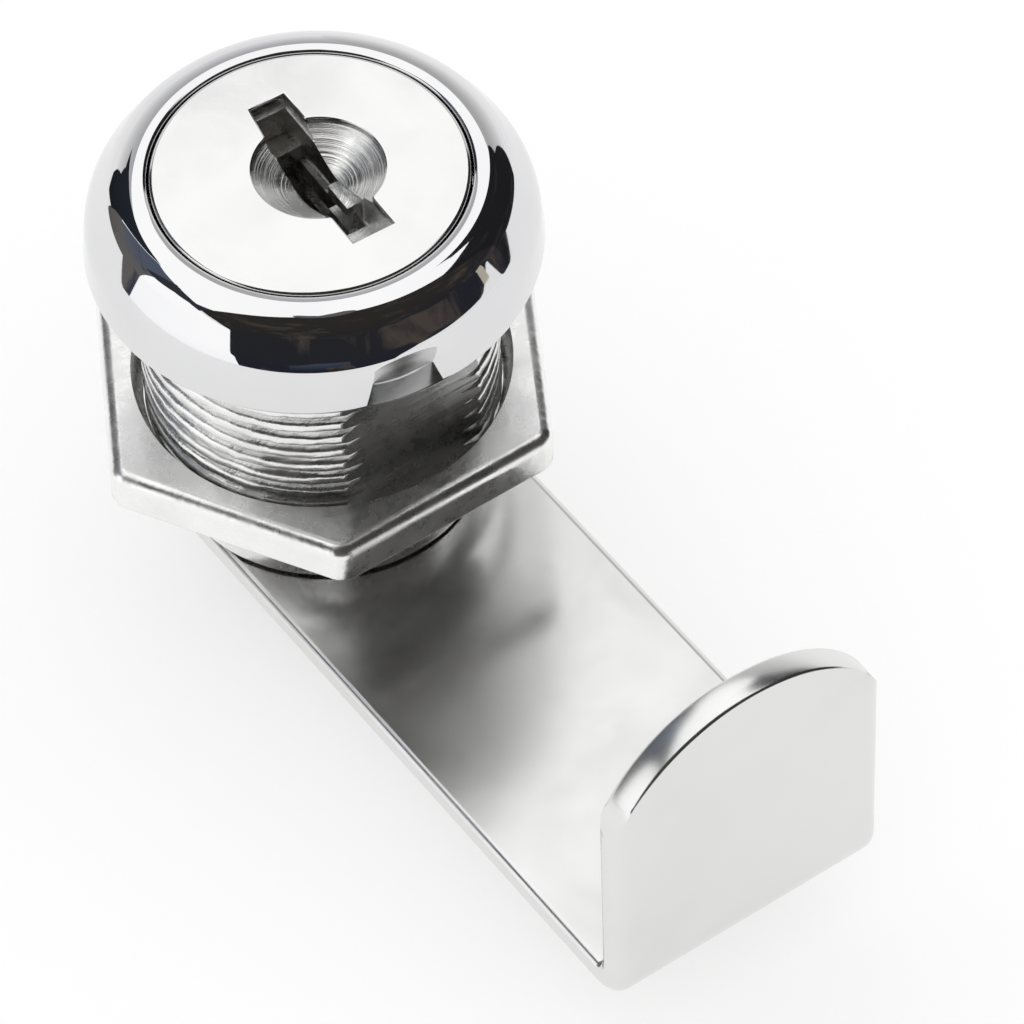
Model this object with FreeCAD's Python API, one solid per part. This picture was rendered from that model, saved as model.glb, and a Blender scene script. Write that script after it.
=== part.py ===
"""Cam lock with a hooked cam: a wafer-tumbler plug in a flats-on-thread barrel.

Millimetres. +Z comes out of the lock's face along the barrel's axis, and Z = 0 is the underside of the
head, which seats on the panel. The hooked cam points along -Y, and the lock is drawn with its wafers
level with the plug, as a key holds them.
"""

import FreeCAD, Part
import math
import os

from FreeCAD import Vector

# Running gaps between pieces
turning_gap = 0.05       # radial, plug in its bore
wafer_gap = 0.05         # each side of a wafer in its slot
seat_gap = 0.1           # axial play of the plug in the housing
recess_gap = 0.2         # radial ring seen between the face cap and the head
nut_gap = 0.05           # radial, plain nut bore on the plain barrel
fit_gap = 0.03           # pieces that are clamped or pressed together

# Head, the domed ring in front of the panel
head_diameter = 22.5
head_height = 5.0
head_land = 0.65             # flat ring round the recess
dome_top_radius = 1.5        # the dome is an arc, a straight slope and an arc
dome_side_radius = 3.4
dome_slope = 55.0            # degrees from the face
dome_steps = 2               # straight pieces in each arc
head_edge_break = 0.35
recess_edge_break = 0.12

# Barrel, threaded and with two flats, and the plain neck behind it
barrel_diameter = 17.9
barrel_length = 13.9
barrel_across_flats = 16.0
barrel_end_chamfer = 0.5
neck_step = 0.1              # the neck is this far inside the flats
neck_length = 1.4
channel_wall = 0.8           # between a wafer channel and the flat
channel_side_gap = 0.3

# Rear stop that limits the turn
stop_height = 1.0
stop_wall_inside = 0.35      # between the stop washer's rim and the stop
turn_angle = 90.0            # degrees
stop_tab_angle = 40.0
stop_slack_angle = 1.5
stop_tab_direction = 135.0   # where the tab points with the lock as drawn

# Plug, its cap and the keyhole, which sits a little to one side of the axis
plug_wall = 1.8              # from the plug's bore to the flats
plug_head_length = 2.2
cap_diameter = 15.7
cap_thickness = 0.35
cap_edge_break = 0.3
cap_skirt_gap = 0.1          # between the skirt's end and the recess floor
keyhole_offset = 0.5
keyhole_turn = 3.0           # degrees, clockwise seen from the front
dish_diameter = 6.5
dish_angle = 120.0
slot_width = 2.25
slot_length = 10.1
slot_depth = 0.5             # of the shelf below the keyway
slot_neck_round = 0.3
keyway_width = 2.1
keyway_low = 2.6             # from the keyhole's middle towards -Y
keyway_high = 4.9            # and towards +Y
keyway_end_wall = 1.2        # from the middle of the last wafer
ward_width = 0.45            # rib on one side of the keyway
ward_low = 1.55              # from the keyhole's middle towards -Y
ward_high = 0.25             # and towards +Y
ward_depth = 1.6             # below the plug's front face

# Wafers and their springs
wafer_count = 7
first_wafer_depth = 2.75     # below the plug's front face
last_wafer_setback = 4.2     # in front of the neck's end
wafer_thickness = 0.95
wafer_width = 5.6
wafer_window_width = 2.9
key_cuts = (1.2, 0.6, 0.9, 0.3, 1.2, 0.6, 0.3)
lug_reach = 1.3
lug_height = 1.0
lug_offset = 2.2             # from the plug's axis to the spring side of the lug
spring_diameter = 1.2
spring_wire = 0.22
spring_length = 3.3
spring_turns = 3
spring_sides = 6             # straight pieces in a turn
spring_gap = 0.06            # round the coil and at its ends

# Snap ring that keeps the plug in
ring_setback = 1.65          # in front of the neck's end
ring_thickness = 0.7
ring_bite = 0.7              # how far it stands in each groove
ring_gap_angle = 60.0
ring_groove_play = 0.12

# Square tail, stop washer, cam, lock washer and screw
tail_square = 7.0
tail_corner_chamfer = 0.6
tail_short = 0.1             # the tail ends this far inside the cam
washer_thickness = 1.1
washer_diameter = 12.5
cam_thickness = 1.6
cam_width = 15.4
cam_reach = 35.8             # from the axis to the hook's outer face
hook_height = 18.5           # from the cam's back face to the top of the hook
hook_crown_extra = 0.8       # the crown's radius beyond half the cam's width
hook_shoulder_radius = 2.5
bend_inner_radius = 0.5
cam_edge_break = 0.45        # on the skin that faces away from the lock
hook_inside_break = 0.3
tooth_washer_diameter = 11.0
tooth_washer_thickness = 0.8
tooth_count = 12
tooth_depth = 1.3
tooth_gap_width = 1.0
screw_diameter = 5.0
screw_length = 5.4           # below its head
screw_hole_extra = 0.4
screw_head_flats = 8.0
screw_head_height = 3.0
screw_head_chamfer = 0.5
cross_width = 1.1
cross_length = 4.6
cross_depth = 1.8

# Mounting nut
nut_across_flats = 22.0
nut_height = 2.3
nut_distance = 8.95          # from the panel seat to the nut's front face
nut_corner_round = 1.1
nut_edge_break = 0.45
nut_back_break = 0.2
nut_bore_chamfer = 0.8

# Radii and levels that follow from the values above
head_radius = head_diameter / 2
barrel_radius = barrel_diameter / 2
bore_radius = barrel_across_flats / 2 - plug_wall
plug_radius = bore_radius - turning_gap
plug_diameter = 2 * plug_radius
cap_radius = cap_diameter / 2
recess_radius = cap_radius + recess_gap
plug_head_radius = cap_radius - cap_thickness - fit_gap
plug_front = head_height - cap_thickness
plug_shoulder = plug_front - plug_head_length
recess_floor = plug_shoulder - seat_gap / 2
thread_end = -barrel_length
neck_radius = barrel_across_flats / 2 - neck_step
neck_end = thread_end - neck_length
plug_end = neck_end - seat_gap
ring_level = neck_end + ring_setback
first_wafer_level = plug_front - first_wafer_depth
last_wafer_level = neck_end + last_wafer_setback
keyway_end = last_wafer_level - keyway_end_wall
washer_back = plug_end - washer_thickness
cam_back = washer_back - cam_thickness
hook_crown_radius = cam_width / 2 + hook_crown_extra
tail_end = cam_back + tail_short
tooth_washer_back = cam_back - tooth_washer_thickness
channel_reach = barrel_across_flats / 2 - channel_wall
groove_radius = plug_radius + ring_bite + ring_groove_play


def cylinder(radius, low, high):
    """A solid cylinder about the lock's axis."""
    return Part.makeCylinder(radius, high - low, Vector(0, 0, low))


def block(x_low, x_high, y_low, y_high, z_low, z_high):
    """A box between two corners."""
    return Part.makeBox(x_high - x_low, y_high - y_low, z_high - z_low, Vector(x_low, y_low, z_low))


def outline(edges):
    """A flat face bounded by edges that meet end to end."""
    return Part.Face(Part.Wire(Part.__sortEdges__(edges)))


def line(start, end):
    """A straight edge."""
    return Part.LineSegment(start, end).toShape()


def arc(start, middle, end):
    """A round edge through three points."""
    return Part.Arc(start, middle, end).toShape()


def polygon(points):
    """A flat face with straight sides."""
    return Part.Face(Part.makePolygon(points + [points[0]]))


def spun(face):
    """A face in the XZ plane turned once about the lock's axis."""
    return face.revolve(Vector(), Vector(0, 0, 1), 360)


def edges_where(shape, test):
    """The edges of a shape whose middle point passes a test."""
    return [e for e in shape.Edges if test(e, e.valueAt((e.FirstParameter + e.LastParameter) / 2))]


def sector(radius, low, high, start, sweep):
    """A wedge of a cylinder, from the angle start and sweep degrees on."""
    wedge = Part.makeCylinder(radius, high - low, Vector(0, 0, low), Vector(0, 0, 1), sweep)
    wedge.rotate(Vector(), Vector(0, 0, 1), start)
    return wedge


def half_turn(shape):
    """A copy turned 180 degrees about the lock's axis."""
    turned = shape.copy()
    turned.rotate(Vector(), Vector(0, 0, 1), 180)
    return turned


def wafer_level(number):
    """Height of the middle of a wafer, counted from the front."""
    return first_wafer_level + (last_wafer_level - first_wafer_level) * number / (wafer_count - 1)


def hexagon(across_flats, low, high):
    """A hexagonal prism with corners on the X axis."""
    corner = across_flats / 2 / math.cos(math.pi / 6)
    points = [Vector(corner * math.cos(k * math.pi / 3), corner * math.sin(k * math.pi / 3), low)
              for k in range(6)]
    return polygon(points).extrude(Vector(0, 0, high - low))


def dome_drop(land):
    """Height of the dome, from the face down to where the head is widest."""
    slope = math.radians(dome_slope)
    straight = head_radius - land - dome_top_radius * math.sin(slope) - dome_side_radius * (1 - math.sin(slope))
    arcs = dome_top_radius * (1 - math.cos(slope)) + dome_side_radius * math.cos(slope)
    return arcs + straight * math.tan(slope)


def dome_points(land):
    """Points down the dome in the XZ plane, from the face to where the head is widest."""
    arcs = [
        (land, head_height - dome_top_radius, dome_top_radius, 0, dome_slope),
        (head_radius - dome_side_radius, head_height - dome_drop(land), dome_side_radius, dome_slope, 90),
    ]
    points = []
    for centre_x, centre_z, radius, first, last in arcs:
        for step in range(dome_steps + 1):
            lean = math.radians(first + (last - first) * step / dome_steps)
            points.append(Vector(centre_x + radius * math.sin(lean), 0, centre_z + radius * math.cos(lean)))
    return points


def head_and_barrel():
    """The outside of the housing before its flats, turned from one outline."""
    below_dome = [
        Vector(head_radius, 0, head_edge_break),
        Vector(head_radius - head_edge_break, 0, 0),
        Vector(barrel_radius, 0, 0),
        Vector(barrel_radius, 0, thread_end + barrel_end_chamfer),
        Vector(barrel_radius - barrel_end_chamfer, 0, thread_end),
        Vector(neck_radius, 0, thread_end),
        Vector(neck_radius, 0, neck_end),
        Vector(0, 0, neck_end),
        Vector(0, 0, head_height),
    ]
    return spun(polygon(dome_points(recess_radius + head_land) + below_dome))


def stop_ring():
    """The raised part-ring behind the barrel that the stop washer's tab swings against."""
    inside = washer_diameter / 2 + stop_wall_inside
    low = neck_end - stop_height
    ring = cylinder(neck_radius, low, neck_end).cut(cylinder(inside, low, neck_end))
    free = turn_angle + stop_tab_angle + 2 * stop_slack_angle
    start = stop_tab_direction - turn_angle - stop_tab_angle / 2 - stop_slack_angle
    return ring.cut(sector(head_radius, low, neck_end, start, free))


def make_housing():
    """Die-cast housing: head, barrel, plug bore, wafer channels, snap ring groove and rear stop."""
    body = head_and_barrel().fuse(stop_ring())
    half = barrel_across_flats / 2
    for side in (1, -1):
        slab = block(-head_radius, head_radius, half, head_radius, thread_end, 0)
        body = body.cut(slab if side > 0 else half_turn(slab))
    body = body.removeSplitter()
    recess = cylinder(recess_radius, recess_floor, head_height)
    bore = cylinder(bore_radius, neck_end - stop_height, recess_floor)
    body = body.cut(recess.fuse(bore))
    channel_half = wafer_width / 2 + channel_side_gap
    channels = block(-channel_half, channel_half, -channel_reach, channel_reach, neck_end, recess_floor)
    across = channels.copy()
    across.rotate(Vector(), Vector(0, 0, 1), 90)
    play = ring_thickness / 2 + ring_groove_play
    groove = cylinder(groove_radius, ring_level - play, ring_level + play)
    body = body.cut(channels.fuse(across)).cut(groove)
    rim = edges_where(body, lambda e, p: abs(p.z - head_height) < 1e-6
                      and abs(math.hypot(p.x, p.y) - recess_radius) < 1e-6)
    return body.makeChamfer(recess_edge_break, rim)


def keyhole_place(shape):
    """A shape made about the axis, turned and moved to where the keyhole is."""
    shape.rotate(Vector(), Vector(0, 0, 1), -keyhole_turn)
    shape.translate(Vector(keyhole_offset, 0, 0))
    return shape


def keyhole(low, high):
    """The face opening: a round dish with a slot across it, its four necks rounded."""
    flat = cylinder(dish_diameter / 2, low, high).fuse(
        block(-slot_width / 2, slot_width / 2, -slot_length / 2, slot_length / 2, low, high))
    flat = flat.removeSplitter()
    neck = math.sqrt((dish_diameter / 2) ** 2 - (slot_width / 2) ** 2)
    necks = edges_where(flat, lambda e, p: abs(abs(p.x) - slot_width / 2) < 1e-6
                        and abs(abs(p.y) - neck) < 1e-6 and abs(p.z - (low + high) / 2) < 1e-6)
    return keyhole_place(flat.makeFillet(slot_neck_round, necks))


def make_face_cap():
    """Pressed steel cap over the plug's head, pierced for the key."""
    skirt_end = recess_floor + cap_skirt_gap
    cup = cylinder(cap_radius, skirt_end, head_height)
    rim = edges_where(cup, lambda e, p: abs(p.z - head_height) < 1e-6 and len(e.Vertexes) == 1)
    cup = cup.makeChamfer(cap_edge_break, rim)
    cup = cup.cut(cylinder(cap_radius - cap_thickness, skirt_end, plug_front))
    return cup.cut(keyhole(plug_front, head_height))


def wafer_slot(number):
    """The slot through the plug for one wafer, with room for its lug and its spring."""
    level = wafer_level(number)
    half_high = wafer_thickness / 2 + wafer_gap
    half_wide = wafer_width / 2 + wafer_gap
    slot = block(-half_wide, half_wide, -plug_diameter, plug_diameter, level - half_high, level + half_high)
    lug_room = block(half_wide - wafer_gap, wafer_width / 2 + lug_reach + wafer_gap,
                     lug_offset - wafer_gap, plug_diameter, level - half_high, level + half_high)
    half_pocket = spring_diameter / 2 + spring_gap
    pocket = block(spring_offset() - half_pocket, spring_offset() + half_pocket,
                   spring_seat(), lug_offset + wafer_gap, level - half_pocket, level + half_pocket)
    cut = slot.fuse([lug_room, pocket])
    return half_turn(cut) if number % 2 == 0 else cut


def spring_offset():
    """Distance of a spring's centreline from the lock's axis, across the wafer."""
    return (wafer_width + lug_reach) / 2


def spring_seat():
    """Where a spring's pocket ends, along the wafer."""
    return lug_offset - spring_length - 2 * spring_gap


def make_plug():
    """The turned plug: head with dish and slot, keyway, wafer slots, ring groove and tapped square tail."""
    half = tail_square / 2
    tail = block(-half, half, -half, half, tail_end, plug_end)
    corners = edges_where(tail, lambda e, p: abs(abs(p.x) - half) < 1e-6 and abs(abs(p.y) - half) < 1e-6)
    tail = tail.makeChamfer(tail_corner_chamfer, corners)
    body = cylinder(plug_head_radius, plug_shoulder, plug_front).fuse(
        [cylinder(plug_radius, plug_end, plug_shoulder), tail])
    dish_depth = dish_diameter / 2 / math.tan(math.radians(dish_angle / 2))
    dish = Part.makeCone(0, dish_diameter / 2, dish_depth, Vector(0, 0, plug_front - dish_depth))
    mouth = block(-slot_width / 2, slot_width / 2, -slot_length / 2, slot_length / 2,
                  plug_front - slot_depth, plug_front)
    keyway = block(-keyway_width / 2, keyway_width / 2, -keyway_low, keyway_high, keyway_end, plug_front)
    ward = block(keyway_width / 2 - ward_width, keyway_width / 2, -ward_low, ward_high,
                 keyway_end, plug_front - ward_depth)
    body = body.cut(keyhole_place(dish.fuse([mouth, keyway.cut(ward)])))
    for number in range(wafer_count):
        body = body.cut(wafer_slot(number))
    low = ring_level - ring_thickness / 2 - wafer_gap
    high = ring_level + ring_thickness / 2 + wafer_gap
    groove = cylinder(plug_diameter, low, high).cut(cylinder(plug_radius - ring_bite, low, high))
    tapped = cylinder(screw_diameter / 2, tail_end, tooth_washer_back + screw_length + screw_hole_extra)
    return body.cut(groove).cut(tapped)


def make_wafer(number):
    """One wafer: a plate with round ends, a window for the key and a lug for its spring."""
    level = wafer_level(number)
    low = level - wafer_thickness / 2
    high = level + wafer_thickness / 2
    half = wafer_width / 2
    end_radius = plug_radius - turning_gap
    plate = cylinder(end_radius, low, high).common(block(-half, half, -plug_radius, plug_radius, low, high))
    lug = block(half, half + lug_reach, lug_offset, lug_offset + lug_height, low, high)
    wafer = plate.fuse(lug)
    window_low = -keyway_low
    window_high = keyway_high
    if number % 2 == 0:
        wafer = half_turn(wafer)
        window_high -= key_cuts[number]
    else:
        window_low += key_cuts[number]
    half = wafer_window_width / 2
    window = block(keyhole_offset - half, keyhole_offset + half, window_low, window_high, low, high)
    return wafer.cut(window)


def make_spring(number):
    """The coil spring that pushes one wafer out of the plug, wound from square wire."""
    mean = (spring_diameter - spring_wire) / 2 / math.cos(math.pi / spring_sides)
    rise = (spring_length - spring_wire) / spring_turns / spring_sides
    points = []
    for step in range(spring_turns * spring_sides + 1):
        angle = step * 2 * math.pi / spring_sides
        points.append(Vector(mean * math.cos(angle), mean * math.sin(angle), step * rise))
    half = spring_wire / 2
    section = Part.makePolygon([
        Vector(mean - half, 0, -half), Vector(mean + half, 0, -half),
        Vector(mean + half, 0, half), Vector(mean - half, 0, half), Vector(mean - half, 0, -half)])
    coil = Part.makePolygon(points).makePipeShell([section], True, True, 1)
    coil.rotate(Vector(), Vector(1, 0, 0), -90)
    coil.translate(Vector(spring_offset(), spring_seat() + spring_gap + half, wafer_level(number)))
    return half_turn(coil) if number % 2 == 0 else coil


def make_snap_ring():
    """The open ring that snaps into the plug's and the housing's grooves."""
    low = ring_level - ring_thickness / 2
    high = ring_level + ring_thickness / 2
    ring = cylinder(plug_radius + ring_bite, low, high).cut(
        cylinder(plug_radius - ring_bite + fit_gap, low, high))
    return ring.cut(sector(head_radius, low, high, -ring_gap_angle / 2, ring_gap_angle))


def square_hole(low, high):
    """The hole that the plug's square tail drives."""
    half = tail_square / 2 + fit_gap
    hole = block(-half, half, -half, half, low, high)
    corners = edges_where(hole, lambda e, p: abs(abs(p.x) - half) < 1e-6 and abs(abs(p.y) - half) < 1e-6)
    return hole.makeChamfer(tail_corner_chamfer, corners)


def make_stop_washer():
    """The washer on the tail whose tab swings between the ends of the rear stop."""
    tab = sector(neck_radius, washer_back, plug_end, stop_tab_direction - stop_tab_angle / 2, stop_tab_angle)
    washer = cylinder(washer_diameter / 2, washer_back, plug_end).fuse(tab)
    return washer.removeSplitter().cut(square_hole(washer_back, plug_end))


def hook_face():
    """The hook seen from the front: straight sides, round shoulders and a crown."""
    half = cam_width / 2
    top = cam_back + hook_height
    centre = top - hook_crown_radius
    side = half - hook_shoulder_radius
    rise = math.sqrt((hook_crown_radius - hook_shoulder_radius) ** 2 - side ** 2)
    lean = math.atan2(rise, side)
    meet = Vector(hook_crown_radius * math.cos(lean), 0, centre + hook_crown_radius * math.sin(lean))
    bow = Vector(side + hook_shoulder_radius * math.cos(lean / 2), 0,
                 centre + rise + hook_shoulder_radius * math.sin(lean / 2))
    shoulder = Vector(half, 0, centre + rise)
    foot = Vector(half, 0, cam_back)
    other = [Vector(-p.x, 0, p.z) for p in (foot, shoulder, bow, meet)]
    return outline([
        line(other[0], foot), line(foot, shoulder), arc(shoulder, bow, meet),
        arc(meet, Vector(0, 0, top), other[3]), arc(other[3], other[2], other[1]), line(other[1], other[0])])


def strap_side():
    """The cam seen from the side: a flat strap that bends up into the hook."""
    front = -cam_reach
    inner = front + cam_thickness
    top = cam_back + hook_height
    turn = bend_inner_radius + cam_thickness
    corner = Vector(0, inner + bend_inner_radius, washer_back + bend_inner_radius)
    slant = math.sqrt(0.5)
    back = cam_width / 2
    return outline([
        line(Vector(0, back, cam_back), Vector(0, corner.y, cam_back)),
        arc(Vector(0, corner.y, cam_back), corner - Vector(0, turn * slant, turn * slant),
            Vector(0, front, corner.z)),
        line(Vector(0, front, corner.z), Vector(0, front, top)),
        line(Vector(0, front, top), Vector(0, inner, top)),
        line(Vector(0, inner, top), Vector(0, inner, corner.z)),
        arc(Vector(0, inner, corner.z),
            corner - Vector(0, bend_inner_radius * slant, bend_inner_radius * slant),
            Vector(0, corner.y, washer_back)),
        line(Vector(0, corner.y, washer_back), Vector(0, back, washer_back)),
        line(Vector(0, back, washer_back), Vector(0, back, cam_back)),
    ])


def make_cam():
    """The hooked cam: strap, bend and hook of one thickness, with a square hole and rounded edges."""
    half = cam_width / 2
    bent = strap_side()
    bent.translate(Vector(-half, 0, 0))
    bent = bent.extrude(Vector(cam_width, 0, 0))
    face = hook_face()
    face.translate(Vector(0, -cam_reach, 0))
    top = cam_back + hook_height
    seen_from_front = face.extrude(Vector(0, cam_reach + half, 0))
    rounded_end = cylinder(half, cam_back, top).fuse(block(-half, half, -cam_reach, 0, cam_back, top))
    cam = bent.common(seen_from_front).common(rounded_end).removeSplitter()
    outer = cam_rims(cam, cam_back, -cam_reach, cam_thickness + bend_inner_radius)
    cam = cam.makeChamfer(cam_edge_break, outer)
    inner = cam_rims(cam, washer_back, cam_thickness - cam_reach, bend_inner_radius)
    cam = cam.makeChamfer(hook_inside_break, inner)
    return cam.cut(square_hole(cam_back, washer_back))


def cam_rims(cam, level, face, bend):
    """The edges round one skin of the cam: on the strap's level, the hook's face and the bend's radius."""
    centre_y = cam_thickness + bend_inner_radius - cam_reach
    centre_z = washer_back + bend_inner_radius

    def on_rim(edge, middle):
        turn = math.hypot(middle.y - centre_y, middle.z - centre_z)
        on_skin = min(abs(middle.z - level), abs(middle.y - face), abs(turn - bend)) < 1e-6
        across = abs(edge.Vertexes[0].X - edge.Vertexes[-1].X) > cam_width / 2
        return on_skin and not (across and isinstance(edge.Curve, Part.Line))

    return edges_where(cam, on_rim)


def make_lock_washer():
    """The toothed washer under the screw's head."""
    washer = cylinder(tooth_washer_diameter / 2, tooth_washer_back, cam_back)
    gaps = []
    for number in range(tooth_count):
        gap = block(tooth_washer_diameter / 2 - tooth_depth, tooth_washer_diameter,
                    -tooth_gap_width / 2, tooth_gap_width / 2, tooth_washer_back, cam_back)
        gap.rotate(Vector(), Vector(0, 0, 1), number * 360 / tooth_count)
        gaps.append(gap)
    return washer.cut(gaps).cut(cylinder(screw_diameter / 2 + turning_gap, tooth_washer_back, cam_back))


def make_screw():
    """The hexagon-headed cam screw with a cross recess."""
    low = tooth_washer_back - screw_head_height
    head = hexagon(screw_head_flats, low, tooth_washer_back)
    corner = screw_head_flats / 2 / math.cos(math.pi / 6)
    cone = Part.makeCone(corner - 2 * screw_head_chamfer, corner + screw_head_height, screw_head_height
                         + 2 * screw_head_chamfer, Vector(0, 0, low))
    head = head.common(cone)
    shank = cylinder(screw_diameter / 2 - fit_gap, tooth_washer_back, tooth_washer_back + screw_length)
    half = cross_length / 2
    slot = block(-half, half, -cross_width / 2, cross_width / 2, low, low + cross_depth)
    other = slot.copy()
    other.rotate(Vector(), Vector(0, 0, 1), 90)
    return head.fuse(shank).cut(slot.fuse(other))


def make_nut():
    """The thin mounting nut, its corners and front rim rounded."""
    low = -nut_distance - nut_height
    high = -nut_distance
    nut = hexagon(nut_across_flats, low, high)
    uprights = edges_where(nut, lambda e, p: abs(p.z - (low + high) / 2) < 1e-6)
    nut = nut.makeFillet(nut_corner_round, uprights)
    nut = nut.makeChamfer(nut_edge_break, edges_where(nut, lambda e, p: abs(p.z - high) < 1e-6))
    nut = nut.makeChamfer(nut_back_break, edges_where(nut, lambda e, p: abs(p.z - low) < 1e-6))
    bore = barrel_radius + nut_gap
    mouth = bore + nut_bore_chamfer
    nut = nut.cut(cylinder(bore, low, high))
    nut = nut.cut(Part.makeCone(bore, mouth, nut_bore_chamfer, Vector(0, 0, high - nut_bore_chamfer)))
    return nut.cut(Part.makeCone(mouth, bore, nut_bore_chamfer, Vector(0, 0, low)))


def main():
    """Builds every piece and writes one STEP file for each."""
    pieces = {
        "housing": make_housing(),
        "mounting_nut": make_nut(),
        "plug": make_plug(),
        "face_cap": make_face_cap(),
        "snap_ring": make_snap_ring(),
        "stop_washer": make_stop_washer(),
        "cam": make_cam(),
        "lock_washer": make_lock_washer(),
        "cam_screw": make_screw(),
    }
    for number in range(wafer_count):
        pieces[f"wafer_{number + 1}"] = make_wafer(number)
        pieces[f"wafer_spring_{number + 1}"] = make_spring(number)
    os.makedirs("parts", exist_ok=True)
    for name, shape in pieces.items():
        print(name, "valid" if shape.isValid() else "NOT VALID", len(shape.Solids), round(shape.Volume, 2))
        shape.exportStep(f"parts/{name}.step")


main()
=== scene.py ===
"""Looks of a cam lock with a hooked cam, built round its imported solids.

Pieces are modelled in millimetres in the solids' own frame, +Z out of the lock's face, and turned to
metres when they are finished. The head, barrel and rear stop stand for the housing's solid.
"""

import logging
import math
from dataclasses import dataclass
from enum import Enum
from typing import Callable

import bmesh
import bpy
from mathutils import Matrix, Vector


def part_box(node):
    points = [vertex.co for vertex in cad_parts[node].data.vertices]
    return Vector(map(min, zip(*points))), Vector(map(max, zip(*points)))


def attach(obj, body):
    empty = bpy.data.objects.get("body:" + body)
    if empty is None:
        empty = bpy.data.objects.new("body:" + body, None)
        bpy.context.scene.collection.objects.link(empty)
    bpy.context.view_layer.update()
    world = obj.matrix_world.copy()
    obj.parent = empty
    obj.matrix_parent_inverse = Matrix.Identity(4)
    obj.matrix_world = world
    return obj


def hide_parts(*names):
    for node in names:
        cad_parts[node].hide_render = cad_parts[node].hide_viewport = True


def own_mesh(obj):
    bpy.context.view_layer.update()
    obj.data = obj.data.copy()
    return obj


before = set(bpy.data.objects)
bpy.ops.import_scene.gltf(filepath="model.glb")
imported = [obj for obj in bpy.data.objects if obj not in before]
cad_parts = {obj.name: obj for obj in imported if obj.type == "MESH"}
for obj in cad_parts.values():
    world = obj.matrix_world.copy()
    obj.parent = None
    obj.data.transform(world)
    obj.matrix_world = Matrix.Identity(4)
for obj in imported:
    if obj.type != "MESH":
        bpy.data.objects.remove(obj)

logging.basicConfig(level=logging.INFO, format="%(message)s")
LOG = logging.getLogger("cam_lock")

MM = 0.001
TINY = 1e-4
KEYHOLE_OFFSET = 0.5
KEYHOLE_TURN = 3.0

Point = tuple[float, float]
Colour = tuple[float, float, float]


class Element(Enum):
    """What an edit-mode selection is made of."""

    VERTEX = "VERT"
    EDGE = "EDGE"


class Body(Enum):
    """The moving bodies of the lock that new pieces ride on."""

    HOUSING = "housing"
    NUT = "nut"
    PLUG = "plug"


# Modelling, in millimetres


def only(piece: bpy.types.Object) -> None:
    """Selects one piece and nothing else.

    Args:
        piece: The piece to select and make active.
    """
    if bpy.context.object and bpy.context.object.mode != "OBJECT":
        bpy.ops.object.mode_set(mode="OBJECT")
    bpy.ops.object.select_all(action="DESELECT")
    piece.select_set(True)
    bpy.context.view_layer.objects.active = piece


def edit(piece: bpy.types.Object) -> None:
    """Opens one piece in edit mode with nothing selected.

    Args:
        piece: The piece to open.
    """
    only(piece)
    bpy.ops.object.mode_set(mode="EDIT")
    bpy.ops.mesh.select_all(action="DESELECT")


def close() -> None:
    """Leaves edit mode."""
    bpy.ops.object.mode_set(mode="OBJECT")


def merge(gap: float = TINY) -> None:
    """Merges corners that lie together in the mesh that is open, and selects all of it.

    Args:
        gap: How far apart such corners are at most.
    """
    bpy.ops.mesh.select_all(action="SELECT")
    bpy.ops.mesh.remove_doubles(threshold=gap)
    bpy.ops.mesh.select_all(action="SELECT")


def face_out() -> None:
    """Selects all of the mesh that is open and points its faces outwards."""
    bpy.ops.mesh.select_all(action="SELECT")
    bpy.ops.mesh.normals_make_consistent(inside=False)


def pick(kind: Element, test: Callable) -> int:
    """Selects what passes a test in the mesh that is open.

    Args:
        kind: Whether vertices or edges are tried.
        test: Says of one of them whether it is wanted.

    Returns:
        How many were selected.
    """
    bpy.ops.mesh.select_mode(type=kind.value)
    bpy.ops.mesh.select_all(action="DESELECT")
    data = bpy.context.edit_object.data
    mesh = bmesh.from_edit_mesh(data)
    wanted = mesh.verts if kind is Element.VERTEX else mesh.edges
    chosen = [element for element in wanted if test(element)]
    for element in chosen:
        element.select_set(True)
    mesh.select_flush_mode()
    bmesh.update_edit_mesh(data)
    return len(chosen)


def middle(edge: bmesh.types.BMEdge) -> Vector:
    """The point halfway along an edge."""
    return (edge.verts[0].co + edge.verts[1].co) / 2


def near(value: float, wanted: float, play: float = 0.01) -> bool:
    """Whether a measure is the wanted one."""
    return abs(value - wanted) < play


def named(name: str) -> bpy.types.Object:
    """Names the primitive that was just added and applies its place.

    Args:
        name: The piece's name.

    Returns:
        The piece.
    """
    piece = bpy.context.object
    piece.name = name
    piece.data.name = name
    bpy.ops.object.transform_apply(location=True, rotation=True, scale=True)
    return piece


def box(name: str, low: Vector | tuple, high: Vector | tuple) -> bpy.types.Object:
    """A box between two corners.

    Args:
        name: The piece's name.
        low: Its lowest corner.
        high: Its highest corner.

    Returns:
        The box.
    """
    low, high = Vector(low), Vector(high)
    bpy.ops.object.select_all(action="DESELECT")
    bpy.ops.mesh.primitive_cube_add(size=1, location=(low + high) / 2)
    bpy.context.object.scale = high - low
    return named(name)


def rod(name: str, radius: float, low: float, high: float, sides: int) -> bpy.types.Object:
    """A round rod about the lock's axis.

    Args:
        name: The piece's name.
        radius: Its radius.
        low: Where it starts along Z.
        high: Where it ends.
        sides: Faces round it.

    Returns:
        The rod.
    """
    bpy.ops.object.select_all(action="DESELECT")
    bpy.ops.mesh.primitive_cylinder_add(vertices=sides, radius=radius, depth=high - low,
                                        location=(0, 0, (low + high) / 2))
    return named(name)


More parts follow.
